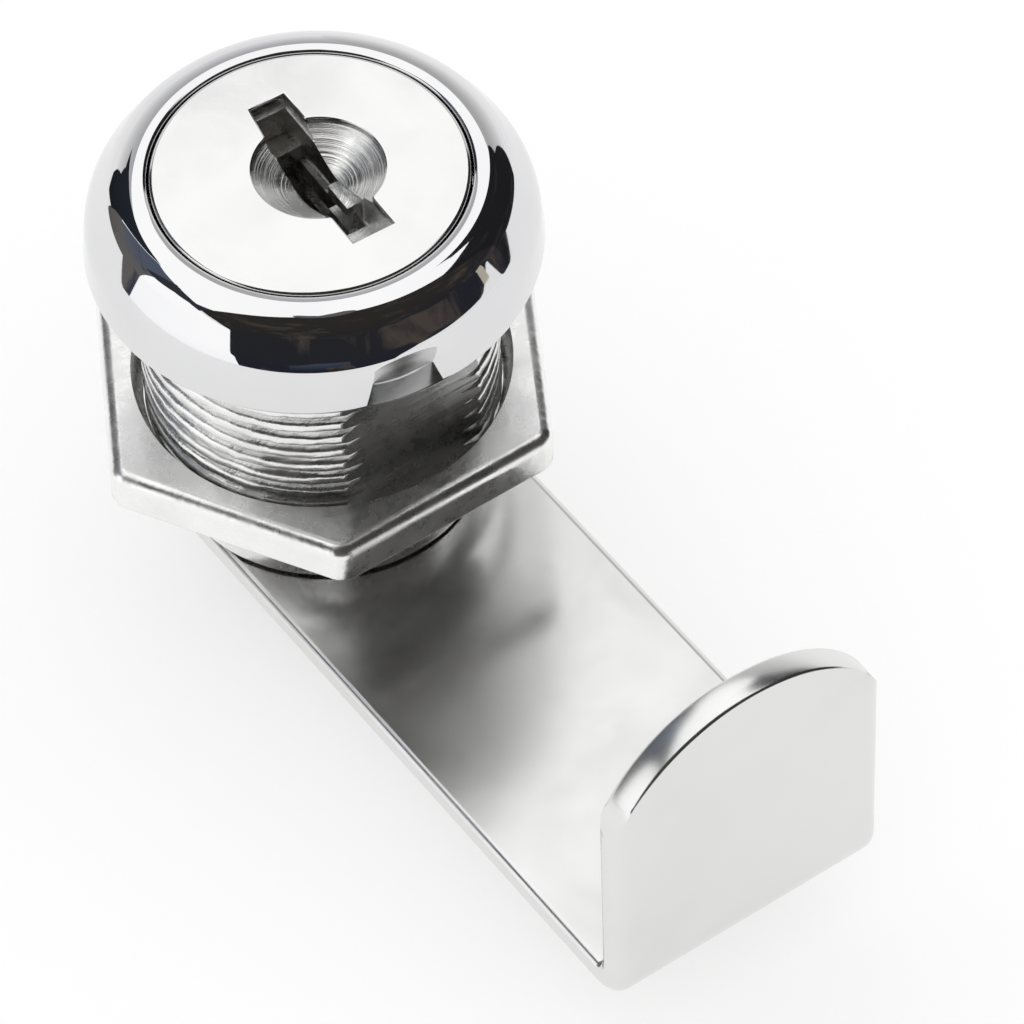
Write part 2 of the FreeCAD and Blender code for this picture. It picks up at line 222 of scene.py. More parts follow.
def chain(name: str, points: list[Point]) -> bpy.types.Object:
    """A chain of edges in the XZ plane, drawn by extruding one vertex, and left open in edit mode.

    Args:
        name: The piece's name.
        points: Its points, as x and z.

    Returns:
        The piece.
    """
    bpy.ops.object.select_all(action="DESELECT")
    bpy.ops.mesh.primitive_plane_add(size=0.1, location=(points[0][0], 0, points[0][1]))
    piece = named(name)
    bpy.ops.object.mode_set(mode="EDIT")
    bpy.ops.mesh.select_mode(type="VERT")
    bpy.ops.mesh.select_all(action="SELECT")
    bpy.ops.mesh.merge(type="CENTER")
    for (x, z), (next_x, next_z) in zip(points, points[1:]):
        bpy.ops.mesh.extrude_region_move(TRANSFORM_OT_translate={"value": (next_x - x, 0, next_z - z)})
    return piece


def turned(name: str, points: list[Point], steps: int = 192) -> bpy.types.Object:
    """A closed outline in the XZ plane spun once about the lock's axis.

    Args:
        name: The piece's name.
        points: The outline's corners, as x and z.
        steps: Faces round the piece.

    Returns:
        The turned piece, its seam and poles closed.
    """
    piece = chain(name, points + points[:1])
    merge()
    bpy.ops.mesh.spin(steps=steps, angle=math.tau, center=(0, 0, 0), axis=(0, 0, 1))
    merge()
    face_out()
    close()
    return piece


def prism(name: str, outline: list[Point], first: float, last: float) -> bpy.types.Object:
    """An outline in the XZ plane carried along Y.

    Args:
        name: The piece's name.
        outline: The outline's corners, as x and z.
        first: Where it starts along Y.
        last: Where it ends.

    Returns:
        The prism.
    """
    piece = chain(name, outline + outline[:1])
    merge()
    bpy.ops.mesh.edge_face_add()
    bpy.ops.transform.translate(value=(0, first, 0))
    bpy.ops.mesh.extrude_region_move(TRANSFORM_OT_translate={"value": (0, last - first, 0)})
    face_out()
    close()
    return piece


def upright(name: str, outline: list[Point], low: float, high: float) -> bpy.types.Object:
    """An outline in the XY plane carried along Z.

    Args:
        name: The piece's name.
        outline: The outline's corners, as x and y.
        low: Where it starts along Z.
        high: Where it ends.

    Returns:
        The prism.
    """
    piece = prism(name, [(x, -y) for x, y in outline], low, high)
    only(piece)
    piece.rotation_euler.x = math.radians(90)
    bpy.ops.object.transform_apply(location=False, rotation=True, scale=False)
    return piece


def place_tool(tool: bpy.types.Object, right: float, turn: float = 0.0) -> None:
    """Turns a tool shape about the lock's axis, then moves it along X.

    Args:
        tool: The shape.
        right: How far it moves.
        turn: How far it turns, in degrees, clockwise seen from the front.
    """
    tool.rotation_euler.z = -math.radians(turn)
    tool.location.x = right
    only(tool)
    bpy.ops.object.transform_apply(location=True, rotation=True, scale=False)


def bow(centre: Point, radius: float, first: float, last: float, steps: int) -> list[Point]:
    """Points along an arc in the XZ plane.

    Args:
        centre: The arc's centre, as x and z.
        radius: Its radius.
        first: Where it starts, in degrees from +Z towards +X.
        last: Where it ends.
        steps: Straight pieces in it.

    Returns:
        The points, both ends with them.
    """
    angles = [math.radians(first + (last - first) * step / steps) for step in range(steps + 1)]
    return [(centre[0] + radius * math.sin(a), centre[1] + radius * math.cos(a)) for a in angles]


def apply(piece: bpy.types.Object, kind: str, **settings: object) -> None:
    """Puts one modifier on a piece and applies it.

    Args:
        piece: The piece.
        kind: The modifier's type.
        settings: Its settings by name.
    """
    only(piece)
    modifier = piece.modifiers.new(kind.title(), kind)
    for setting, value in settings.items():
        setattr(modifier, setting, value)
    bpy.ops.object.modifier_apply(modifier=modifier.name)


class Cut(Enum):
    """How two shapes are combined."""

    TAKE = "DIFFERENCE"
    KEEP = "INTERSECT"
    JOIN = "UNION"


def combine(piece: bpy.types.Object, tool: bpy.types.Object, cut: Cut) -> None:
    """Cuts a piece with a tool shape, or joins the two, and removes the tool.

    Args:
        piece: What is changed.
        tool: The other shape.
        cut: Whether the tool's room is taken, kept or joined.
    """
    apply(piece, "BOOLEAN", object=tool, operation=cut.value, solver="EXACT")
    bpy.data.objects.remove(tool)


def slice_off(piece: bpy.types.Object, place: tuple, normal: tuple) -> None:
    """Cuts a piece by a plane and closes the cut.

    Args:
        piece: The piece.
        place: A point of the plane.
        normal: The plane's normal, on whose side the piece is taken away.
    """
    edit(piece)
    bpy.ops.mesh.select_all(action="SELECT")
    bpy.ops.mesh.bisect(plane_co=place, plane_no=normal, use_fill=True, clear_outer=True)
    close()


def tidy(piece: bpy.types.Object, gap: float = 0.002, lean: float = 0.3) -> None:
    """Merges corners that lie together and joins faces that lie in one plane.

    Args:
        piece: The piece.
        gap: How far apart such corners are at most.
        lean: How far such faces lean from each other at most, in degrees.
    """
    edit(piece)
    merge(gap)
    bpy.ops.mesh.dissolve_limited(angle_limit=math.radians(lean))
    close()


def soften(piece: bpy.types.Object, width: float, steps: int, test: Callable,
           bounded: bool = False) -> None:
    """Rounds the edges of a piece that pass a test.

    Args:
        piece: The piece.
        width: How far the round reaches from each edge.
        steps: Faces across it.
        test: Says of an edge whether it is rounded.
        bounded: Whether the round narrows where there is no room for it.
    """
    edit(piece)
    count = pick(Element.EDGE, test)
    if count:
        bpy.ops.mesh.bevel(offset=width, offset_type="OFFSET", segments=steps, profile=0.5,
                           affect="EDGES", clamp_overlap=bounded)
    close()
    LOG.info("%s: %d edges rounded by %.2f", piece.name, count, width)


# Effects that several finishes use, each a shader node group


def new_group(name: str, inputs: dict[str, float]) -> tuple:
    """Starts a node group that takes a place on the piece and puts out one value.

    Args:
        name: The group's name.
        inputs: Its number inputs with their defaults.

    Returns:
        The group, its input node and its output node.
    """
    group = bpy.data.node_groups.new(name, "ShaderNodeTree")
    group.interface.new_socket("Place", in_out="INPUT", socket_type="NodeSocketVector")
    for key, default in inputs.items():
        socket = group.interface.new_socket(key, in_out="INPUT", socket_type="NodeSocketFloat")
        socket.default_value = default
    group.interface.new_socket("Value", in_out="OUTPUT", socket_type="NodeSocketFloat")
    return group, group.nodes.new("NodeGroupInput"), group.nodes.new("NodeGroupOutput")


def maths(tree: bpy.types.NodeTree, operation: str, first: object, second: object = 0.0,
          clamp: bool = False) -> bpy.types.NodeSocket:
    """Adds a Math node.

    Args:
        tree: The node tree.
        operation: The Math node's operation.
        first: A socket or number.
        second: A socket or number.
        clamp: Whether the result stays between 0 and 1.

    Returns:
        The node's output.
    """
    node = tree.nodes.new("ShaderNodeMath")
    node.operation = operation
    node.use_clamp = clamp
    for place, value in enumerate((first, second)):
        if isinstance(value, bpy.types.NodeSocket):
            tree.links.new(value, node.inputs[place])
        else:
            node.inputs[place].default_value = value
    return node.outputs[0]


def ramp(tree: bpy.types.NodeTree, value: bpy.types.NodeSocket, start: float, rise: object,
         clamp: bool = True) -> bpy.types.NodeSocket:
    """Takes a start from a value and multiplies the rest.

    Args:
        tree: The node tree.
        value: The value's socket.
        start: What is taken from it.
        rise: What the rest is multiplied by, a number or a socket.
        clamp: Whether the result stays between 0 and 1.

    Returns:
        The result.
    """
    return maths(tree, "MULTIPLY", maths(tree, "SUBTRACT", value, start), rise, clamp=clamp)


def mix(tree: bpy.types.NodeTree, share: bpy.types.NodeSocket, first: object,
        second: Colour) -> bpy.types.NodeSocket:
    """Adds a Mix node between two colours.

    Args:
        tree: The node tree.
        share: How much of the second colour shows.
        first: A colour or a colour's socket.
        second: A colour.

    Returns:
        The mixed colour.
    """
    node = tree.nodes.new("ShaderNodeMix")
    node.data_type = "RGBA"
    if isinstance(first, bpy.types.NodeSocket):
        tree.links.new(first, node.inputs[6])
    else:
        node.inputs[6].default_value = (*first, 1)
    node.inputs[7].default_value = (*second, 1)
    tree.links.new(share, node.inputs[0])
    return node.outputs[2]


def noise(tree: bpy.types.NodeTree, place: bpy.types.NodeSocket, scale: object, detail: float,
          roughness: float = 0.5, distortion: float = 0.0) -> bpy.types.NodeSocket:
    """Adds a noise texture and returns its value.

    Args:
        tree: The node tree.
        place: Where on the piece it is read.
        scale: Waves per metre, a number or a socket.
        detail: Octaves.
        roughness: How strong the finer octaves are.
        distortion: How far it swirls.

    Returns:
        The noise's value, about 0.5 in the middle.
    """
    node = tree.nodes.new("ShaderNodeTexNoise")
    node.inputs["Detail"].default_value = detail
    node.inputs["Roughness"].default_value = roughness
    node.inputs["Distortion"].default_value = distortion
    tree.links.new(place, node.inputs["Vector"])
    if isinstance(scale, bpy.types.NodeSocket):
        tree.links.new(scale, node.inputs["Scale"])
    else:
        node.inputs["Scale"].default_value = scale
    return node.outputs["Fac"]


def make_ripple() -> bpy.types.NodeTree:
    """The soft waves of polished plating over a cast or stamped surface, as a height in metres.

    Returns:
        The node group.
    """
    group, start, end = new_group("plating_ripple", {"Wave": 500.0, "Height": 1e-6})
    wave = noise(group, start.outputs["Place"], start.outputs["Wave"], 1.5)
    height = ramp(group, wave, 0.5, start.outputs["Height"], clamp=False)
    group.links.new(height, end.inputs["Value"])
    return group


def make_smear() -> bpy.types.NodeTree:
    """Cloudy changes of gloss, between two roughnesses.

    Returns:
        The node group.
    """
    group, start, end = new_group("gloss_smear", {"Wave": 200.0, "Low": 0.05, "High": 0.15})
    cloud = noise(group, start.outputs["Place"], start.outputs["Wave"], 4.0, 0.6, 0.4)
    steep = ramp(group, cloud, 0.35, 3.0)
    span = maths(group, "SUBTRACT", start.outputs["High"], start.outputs["Low"])
    rough = maths(group, "ADD", maths(group, "MULTIPLY", steep, span), start.outputs["Low"])
    group.links.new(rough, end.inputs["Value"])
    return group


def make_rings() -> bpy.types.NodeTree:
    """Fine rings round the Z axis that a turning tool leaves, as a height in metres.

    Returns:
        The node group.
    """
    group, start, end = new_group("turned_rings", {"Wave": 9000.0, "Height": 1e-6})
    length = group.nodes.new("ShaderNodeVectorMath")
    length.operation = "LENGTH"
    flat = group.nodes.new("ShaderNodeVectorMath")
    flat.operation = "MULTIPLY"
    flat.inputs[1].default_value = (1, 1, 0)
    group.links.new(start.outputs["Place"], flat.inputs[0])
    group.links.new(flat.outputs["Vector"], length.inputs[0])
    node = group.nodes.new("ShaderNodeTexNoise")
    node.noise_dimensions = "1D"
    node.inputs["Detail"].default_value = 3.0
    node.inputs["Roughness"].default_value = 0.7
    group.links.new(length.outputs["Value"], node.inputs["W"])
    group.links.new(start.outputs["Wave"], node.inputs["Scale"])
    height = ramp(group, node.outputs["Fac"], 0.5, start.outputs["Height"], clamp=False)
    group.links.new(height, end.inputs["Value"])
    return group


def make_streaks() -> bpy.types.NodeTree:
    """Drawn or broached streaks along the X axis, as a height in metres.

    Returns:
        The node group.
    """
    group, start, end = new_group("tool_streaks", {"Wave": 3000.0, "Length": 0.04, "Height": 1e-6})
    stretch = group.nodes.new("ShaderNodeVectorMath")
    stretch.operation = "MULTIPLY"
    sizes = group.nodes.new("ShaderNodeCombineXYZ")
    group.links.new(start.outputs["Length"], sizes.inputs[0])
    sizes.inputs[1].default_value = 1.0
    sizes.inputs[2].default_value = 1.0
    group.links.new(start.outputs["Place"], stretch.inputs[0])
    group.links.new(sizes.outputs[0], stretch.inputs[1])
    streak = noise(group, stretch.outputs["Vector"], start.outputs["Wave"], 3.0, 0.65)
    height = ramp(group, streak, 0.5, start.outputs["Height"], clamp=False)
    group.links.new(height, end.inputs["Value"])
    return group


@dataclass(frozen=True)
class Effects:
    """The shared node groups."""

    ripple: bpy.types.NodeTree
    smear: bpy.types.NodeTree
    rings: bpy.types.NodeTree
    streaks: bpy.types.NodeTree


@dataclass(frozen=True)
class Layer:
    """One effect laid on a finish, with its values and the middle of its pattern in millimetres."""

    effect: str
    values: tuple[tuple[str, float], ...]
    centre: tuple[float, float, float] = (0.0, 0.0, 0.0)


@dataclass(frozen=True)
class MetalFinish:
    """A plated or bare metal: colour with a faint stain, gloss that varies, and layers of relief.

    Where a distance for the flats is given, in millimetres, the metal further than that from the XZ plane
    has the darker colour flats, a painted dark reflection on the barrel's two milled flats.
    """

    name: str
    colour: Colour
    stain: Colour
    stain_wave: float
    gloss: tuple[float, float, float]
    relief: tuple[Layer, ...]
    shaded_flats_from: float = 0.0
    # The flats colour is painted shade: darker than the rest, it stands in for the dark reflection that the
    # flats show.
    flats: Colour = (0.5, 0.5, 0.5)

    def make(self, effects: Effects) -> bpy.types.Material:
        """Builds the material.

        Args:
            effects: The shared node groups.

        Returns:
            The material.
        """
        material = bpy.data.materials.new(self.name)
        material.use_nodes = True
        tree = material.node_tree
        tree.nodes.clear()
        output = tree.nodes.new("ShaderNodeOutputMaterial")
        shader = tree.nodes.new("ShaderNodeBsdfPrincipled")
        shader.inputs["Metallic"].default_value = 1.0
        tree.links.new(shader.outputs[0], output.inputs["Surface"])
        place = tree.nodes.new("ShaderNodeTexCoord").outputs["Object"]

        cloud = noise(tree, place, self.stain_wave, 3.0, 0.6)
        colour = mix(tree, ramp(tree, cloud, 0.4, 3.0), self.colour, self.stain)
        # Painted shade: the metal on the flats takes the darker flats colour in place of their dark
        # reflection.
        if self.shaded_flats_from:
            apart = tree.nodes.new("ShaderNodeSeparateXYZ")
            tree.links.new(place, apart.inputs[0])
            side = maths(tree, "ABSOLUTE", apart.outputs[1])
            on_shaded_flat = maths(tree, "GREATER_THAN", side, self.shaded_flats_from * MM)
            colour = mix(tree, on_shaded_flat, colour, self.flats)
        tree.links.new(colour, shader.inputs["Base Color"])

        wave, low, high = self.gloss
        smear = Layer("smear", (("Wave", wave), ("Low", low), ("High", high)))
        rough = self.lay(tree, effects, smear, place)
        tree.links.new(rough, shader.inputs["Roughness"])

        height = None
        for layer in self.relief:
            added = self.lay(tree, effects, layer, place)
            height = added if height is None else maths(tree, "ADD", height, added)
        if height is not None:
            bump = tree.nodes.new("ShaderNodeBump")
            bump.inputs["Distance"].default_value = 1.0
            tree.links.new(height, bump.inputs["Height"])
            tree.links.new(bump.outputs["Normal"], shader.inputs["Normal"])
        return material

    def lay(self, tree: bpy.types.NodeTree, effects: Effects, layer: Layer,
            place: bpy.types.NodeSocket) -> bpy.types.NodeSocket:
        """Places one effect in the material.

        Args:
            tree: The material's node tree.
            effects: The shared node groups.
            layer: The effect and its values.
            place: Where on the piece it is read.

        Returns:
            The effect's value.
        """
        mapping = tree.nodes.new("ShaderNodeMapping")
        mapping.inputs["Location"].default_value = [-value * MM for value in layer.centre]
        tree.links.new(place, mapping.inputs["Vector"])
        node = tree.nodes.new("ShaderNodeGroup")
        node.node_tree = getattr(effects, layer.effect)
        tree.links.new(mapping.outputs["Vector"], node.inputs["Place"])
        for key, value in layer.values:
            node.inputs[key].default_value = value
        return node.outputs["Value"]


HEAD_CHROME = MetalFinish(
    "head_chrome", (0.74, 0.74, 0.745), (0.70, 0.70, 0.715), 120.0, (160.0, 0.015, 0.045),
    (Layer("ripple", (("Wave", 260.0), ("Height", 1.5e-6))),))
CAP_POLISH = MetalFinish(
    "cap_polish", (0.76, 0.76, 0.755), (0.73, 0.73, 0.725), 150.0, (240.0, 0.07, 0.13),
    (Layer("ripple", (("Wave", 420.0), ("Height", 0.8e-6))),))
# The barrel's last two values give its flats a darker colour, a painted dark reflection.
BARREL_PLATE = MetalFinish(
    "barrel_plate", (0.88, 0.88, 0.87), (0.76, 0.76, 0.75), 500.0, (700.0, 0.22, 0.34),
    (Layer("ripple", (("Wave", 1200.0), ("Height", 7e-6))),
     Layer("streaks", (("Wave", 2600.0), ("Length", 0.06), ("Height", 26e-6)))), 7.99, (0.5, 0.5, 0.49))
NUT_PLATE = MetalFinish(
    "nut_plate", (0.93, 0.93, 0.92), (0.86, 0.86, 0.85), 300.0, (500.0, 0.22, 0.34),
    (Layer("ripple", (("Wave", 650.0), ("Height", 22e-6))),
     Layer("ripple", (("Wave", 2600.0), ("Height", 9e-6)))))
CAM_PLATE = MetalFinish(
    "cam_plate", (0.77, 0.77, 0.765), (0.74, 0.74, 0.73), 120.0, (180.0, 0.2, 0.27),
    (Layer("ripple", (("Wave", 350.0), ("Height", 6e-6))),))
DISH_METAL = MetalFinish(
    "turned_dish", (0.90, 0.90, 0.88), (0.72, 0.72, 0.70), 700.0, (900.0, 0.18, 0.30),
    (Layer("rings", (("Wave", 7500.0), ("Height", 48e-6)), centre=(0.5, 0, 0)),
     Layer("ripple", (("Wave", 1800.0), ("Height", 5e-6)))))
STEEL = MetalFinish(
    "zinc_steel", (0.66, 0.67, 0.68), (0.52, 0.52, 0.52), 600.0, (800.0, 0.2, 0.36),
    (Layer("ripple", (("Wave", 1500.0), ("Height", 4e-6))),))
SPRING_STEEL = MetalFinish(
    "spring_steel", (0.46, 0.46, 0.47), (0.34, 0.33, 0.32), 900.0, (900.0, 0.25, 0.4),
    (Layer("streaks", (("Wave", 4000.0), ("Height", 2e-6))),))
WAFER_METAL = MetalFinish(
    "wafer_plate", (0.66, 0.65, 0.62), (0.50, 0.48, 0.45), 900.0, (900.0, 0.2, 0.35),
    (Layer("streaks", (("Wave", 3500.0), ("Height", 3e-6))),))


def settle(piece: bpy.types.Object, body: Body, material: bpy.types.Material,
           smooth: float, stands_for: tuple[str, ...]) -> None:
    """Finishes a piece: metres, shading, material, and the body and nodes it goes with.

    Args:
        piece: The piece, in millimetres.
        body: The body it rides on.
        material: Its material.
        smooth: Edges sharper than this angle, in degrees, stay sharp.
        stands_for: The solids' nodes that it is shown in place of.
    """
    only(piece)
    piece.scale = (MM, MM, MM)
    bpy.ops.object.transform_apply(location=True, rotation=True, scale=True)
    bpy.ops.object.shade_smooth_by_angle(angle=math.radians(smooth))
    apply(piece, "WEIGHTED_NORMAL", keep_sharp=True, weight=80)
    piece.data.materials.clear()
    piece.data.materials.append(material)
    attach(piece, body.value)
    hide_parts(*stands_for)
    LOG.info("%s: %d faces on %s", piece.name, len(piece.data.polygons), body.value)


def finish_node(name: str, material: bpy.types.Material) -> None:
    """Gives a solid that stays its material.

    Args:
        name: The solid's node.
        material: Its material.
    """
    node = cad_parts[name]
    node.data.materials.clear()
    node.data.materials.append(material)
    LOG.info("%s: solid kept, finish %s", name, material.name)


@dataclass
class Housing:
    """The cast housing: chrome head, threaded barrel with two flats, plain neck and rear stop."""

    head_radius: float = 11.25
    head_height: float = 5.0
    edge_round: float = 0.35
    recess_radius: float = 7.93
    recess_floor: float = 2.4
    recess_round: float = 0.2
    land_radius: float = 8.5
    top_radius: float = 1.88
    side_radius: float = 3.4
    side_level: float = 1.4
    side_inset: float = 0.05
    foot_flare: float = 0.07
    draft: float = 6.0  # degrees
    slope: float = 55.0  # degrees from the face
    bore_radius: float = 6.2
    crest_radius: float = 8.95
    root_radius: float = 8.5
    pitch: float = 1.0
    groove_share: float = 0.15
    ridge_swell: float = 0.35
    ridge_steps: int = 14
    thread_sides: int = 144
    lump_size: float = 0.8
    unevenness: float = 0.16
    thread_end: float = -13.9
    end_chamfer: float = 0.5
    half_flats: float = 8.0
    neck_radius: float = 7.9
    neck_end: float = -15.3
    stop_end: float = -16.3
    stop_inside: float = 6.6
    stop_free: tuple[float, float] = (23.5, 156.5)  # degrees between which there is no stop
    overlap: float = 0.02
    channel_half: float = 3.1
    channel_reach: float = 7.2

    def dome(self) -> list[Point]:
        """The head's outline from the recess's rim out over the dome and down to its underside.

        Returns:
            Its points, as x and z.
        """
        rim = (self.recess_radius + self.recess_round, self.head_height - self.recess_round)
        crown = (self.land_radius, self.head_height - self.top_radius)
        side = (self.head_radius - self.side_radius - self.side_inset, self.side_level)
        foot = (self.head_radius + self.foot_flare - self.edge_round, self.edge_round)
        steepest = 90 - self.draft
        return (bow(rim, self.recess_round, -90, 0, 4)
                + bow(crown, self.top_radius, 0, self.slope, 14)
                + bow(side, self.side_radius, self.slope, steepest, 14)
                + bow(foot, self.edge_round, steepest, 180, 7))

    def make_head(self) -> bpy.types.Object:
        """Turns the head, open for the plug.

        Returns:
            The head.
        """
        inside = [(self.bore_radius, 0.0), (self.bore_radius, self.recess_floor),
                  (self.recess_radius, self.recess_floor)]
        head = turned("chrome_head", inside + self.dome(), 256)
        self.open_channels(head, -0.01, self.recess_floor + 0.01)
        return head

    def make_barrel(self) -> bpy.types.Object:
        """Winds the thread, cuts its two flats and opens it for the plug and the wafers.

        Returns:
            The barrel.
        """
        barrel = self.make_thread()
        slice_off(barrel, (0, 0, 0.6), (0, 0, 1))
        slice_off(barrel, (0, 0, self.thread_end - 0.3), (0, 0, -1))
        edit(barrel)
        face_out()
        close()
        spare = 0.4
        over = self.crest_radius + spare
        into_head = 0.05
        tube = turned("barrel_tube", [
            (self.bore_radius, into_head), (over, into_head),
            (over, self.thread_end + self.end_chamfer + spare),
            (self.crest_radius - self.end_chamfer, self.thread_end),
            (self.bore_radius, self.thread_end)])
        half = self.half_flats
        flats = box("flats", (-2 * half, -half, 2 * self.thread_end), (2 * half, half, half))
        combine(tube, flats, Cut.KEEP)
        combine(barrel, tube, Cut.KEEP)
        self.open_channels(barrel, self.thread_end - 1, 1)
        edit(barrel)
        bpy.ops.mesh.select_all(action="SELECT")
        bpy.ops.mesh.fill_holes(sides=4)
        close()
        return barrel

    def make_thread(self) -> bpy.types.Object:
        """Winds one ridge round the axis and makes it as uneven as a casting.

        Returns:
            The thread, longer than the barrel at both ends and open there.
        """
        depth = self.crest_radius - self.root_radius - self.ridge_swell / 4
        ridge = []
        for share in (step / self.ridge_steps - 0.5 for step in range(self.ridge_steps + 1)):
            groove = math.exp(-((0.5 - abs(share)) / self.groove_share) ** 2)
            ridge.append((self.crest_radius - self.ridge_swell * share ** 2 - depth * groove,
                          self.thread_end - self.pitch + self.pitch * (share + 0.5)))
        thread = chain("threaded_barrel", ridge)
        close()
        turns = math.ceil(-self.thread_end / self.pitch) + 2
        apply(thread, "SCREW", axis="Z", screw_offset=self.pitch, iterations=turns,
              steps=self.thread_sides, render_steps=self.thread_sides, use_merge_vertices=True,
              merge_threshold=TINY)
        edit(thread)
        merge(0.001)
        face_out()
        close()
        lumps = bpy.data.textures.new("casting_lumps", "CLOUDS")
        lumps.noise_scale = self.lump_size
        lumps.noise_depth = 3
        apply(thread, "DISPLACE", texture=lumps, strength=self.unevenness, mid_level=0.5,
              texture_coords="LOCAL")
        return thread

    def open_channels(self, piece: bpy.types.Object, low: float, high: float) -> None:
        """Cuts the four channels that the wafers move out into.

        Args:
            piece: What is cut.
            low: Where the channels start.
            high: Where they end.
        """
        half, reach = self.channel_half, self.channel_reach
        for x, y in ((half, reach), (reach, half)):
            combine(piece, box("channel", (-x, -y, low), (x, y, high)), Cut.TAKE)

    def make_neck(self) -> bpy.types.Object:
        """Turns the plain neck behind the thread.

        Returns:
            The neck.
        """
        front = self.thread_end + self.overlap
        neck = turned("plain_neck", [
            (self.bore_radius, self.neck_end), (self.neck_radius, self.neck_end),
            (self.neck_radius, front), (self.bore_radius, front)])
        self.open_channels(neck, self.neck_end - 0.001, 0.01)
        return neck

    def make_stop(self) -> bpy.types.Object:
        """Turns the rear stop and cuts the room that the stop washer's tab swings in.

        Returns:
            The stop.
        """
        front = self.neck_end + self.overlap
        stop = turned("rear_stop", [
            (self.stop_inside, self.stop_end), (self.neck_radius, self.stop_end),
            (self.neck_radius, front), (self.stop_inside, front)])
        first, last = (math.radians(angle) for angle in self.stop_free)
        reach = 2 * self.neck_radius
        wedge = upright("swing_room", [
            (0, 0), (reach * math.cos(first), reach * math.sin(first)), (reach * math.cos(first), reach),
            (reach * math.cos(last), reach), (reach * math.cos(last), reach * math.sin(last))],
            self.stop_end - 0.8, self.stop_end + 1.7)
        combine(stop, wedge, Cut.TAKE)
        return stop

    def dress(self, head_metal: bpy.types.Material, barrel_metal: bpy.types.Material) -> None:
        """Builds and finishes the housing's pieces.

        Args:
            head_metal: The head's chrome.
            barrel_metal: The barrel's plating.
        """
        for make, metal, smooth in (
                (self.make_head, head_metal, 40.0), (self.make_barrel, barrel_metal, 38.0),
                (self.make_neck, barrel_metal, 32.0), (self.make_stop, barrel_metal, 32.0)):
            settle(make(), Body.HOUSING, metal, smooth, ("housing",))


@dataclass
class Nut:
    """The thin hexagon nut."""

    flats: float = 22.0
    low: float = -11.25
    high: float = -8.95
    corner_round: float = 1.1
    front_round: float = 0.7
    back_round: float = 0.2
    back_flare: float = 0.3
    bore: float = 9.0
    mouth: float = 9.55
    mouth_depth: float = 1.5

    def make(self) -> bpy.types.Object:
        """Rounds a hexagon's corners and rims and bores it.

        Returns:
            The nut.
        """
        bpy.ops.object.select_all(action="DESELECT")
        corner = self.flats / 2 / math.cos(math.pi / 6)
        bpy.ops.mesh.primitive_cylinder_add(vertices=6, radius=corner, depth=self.high - self.low,
                                            location=(0, 0, (self.low + self.high) / 2),
                                            rotation=(0, 0, math.radians(30)))
        nut = named("hexagon_nut")
        half = (self.low + self.high) / 2
        soften(nut, self.corner_round * math.tan(math.radians(30)), 8,
               lambda e: near(middle(e).z, half))
        soften(nut, self.front_round, 6, lambda e: near(middle(e).z, self.high, 0.001))
        soften(nut, self.back_round, 3, lambda e: near(middle(e).z, self.low, 0.001))
        tool = turned("nut_bore", [
            (0, self.low - 1), (self.bore + self.back_flare + 1, self.low - 1),
            (self.bore, self.low + self.back_flare),
            (self.bore, self.high - self.mouth_depth), (self.mouth, self.high), (self.mouth, self.high + 1),
            (0, self.high + 1)])
        combine(nut, tool, Cut.TAKE)
        return nut

    def dress(self, metal: bpy.types.Material) -> None:
        """Builds and finishes the nut."""
        settle(self.make(), Body.NUT, metal, 40.0, ("mounting_nut",))


@dataclass
class FaceCap:
    """The polished cap over the plug's head, pierced for the key."""

    radius: float = 7.85
    wall: float = 0.35
    top: float = 5.0
    skirt_end: float = 2.5
    rim_round: float = 0.2
    dish_radius: float = 3.25
    slot_width: float = 2.25
    slot_length: float = 10.1
    neck_round: float = 0.3
    narrowing: float = 0.3
    edge_round: float = 0.1

    def make_keyhole(self) -> bpy.types.Object:
        """The keyhole's shape, a round with a slot across it, its four necks rounded.

        Returns:
            The shape, through the cap's top.
        """
        low, high = self.top - 1, self.top + 1
        round_part = rod("keyhole", self.dish_radius, low, high, 128)
        half, reach = self.slot_width / 2, self.slot_length / 2
        slot = box("slot", (-half, -reach, low), (half, reach, high))
        neck = math.sqrt(self.dish_radius ** 2 - half ** 2)
        edit(slot)
        bpy.ops.mesh.select_all(action="SELECT")
        bpy.ops.mesh.bisect(plane_co=(0, neck, 0), plane_no=(0, 1, 0))
        pick(Element.VERTEX, lambda v: v.co.x < 0 and v.co.y > neck + 0.1)
        bpy.ops.transform.translate(value=(self.narrowing, 0, 0))
        close()
        combine(round_part, slot, Cut.JOIN)
        tidy(round_part)
        soften(round_part, self.neck_round / 2, 5, lambda e: near(abs(middle(e).x), half, 0.02)
               and near(abs(middle(e).y), neck, 0.02) and near(middle(e).z, self.top, 0.1))
        place_tool(round_part, KEYHOLE_OFFSET, KEYHOLE_TURN)
        return round_part

    def make(self) -> bpy.types.Object:
        """Turns the cap and pierces it.

        Returns:
            The cap.
        """
        inside, under = self.radius - self.wall, self.top - self.wall
        rim = bow((self.radius - self.rim_round, self.top - self.rim_round), self.rim_round, 90, 0, 7)
        cap = turned("polished_cap", [
            (0, under), (inside, under), (inside, self.skirt_end), (self.radius, self.skirt_end)]
            + rim + [(0, self.top)], 256)
        combine(cap, self.make_keyhole(), Cut.TAKE)
        tidy(cap)
        soften(cap, self.edge_round, 3, lambda e: near(middle(e).z, self.top, 0.001)
               and len(e.link_faces) == 2 and min(abs(f.normal.z) for f in e.link_faces) < 0.1
               and math.hypot(middle(e).x, middle(e).y) < 6, True)
        return cap

    def dress(self, metal: bpy.types.Material) -> None:
        """Builds and finishes the cap."""
        settle(self.make(), Body.PLUG, metal, 40.0, ("face_cap",))


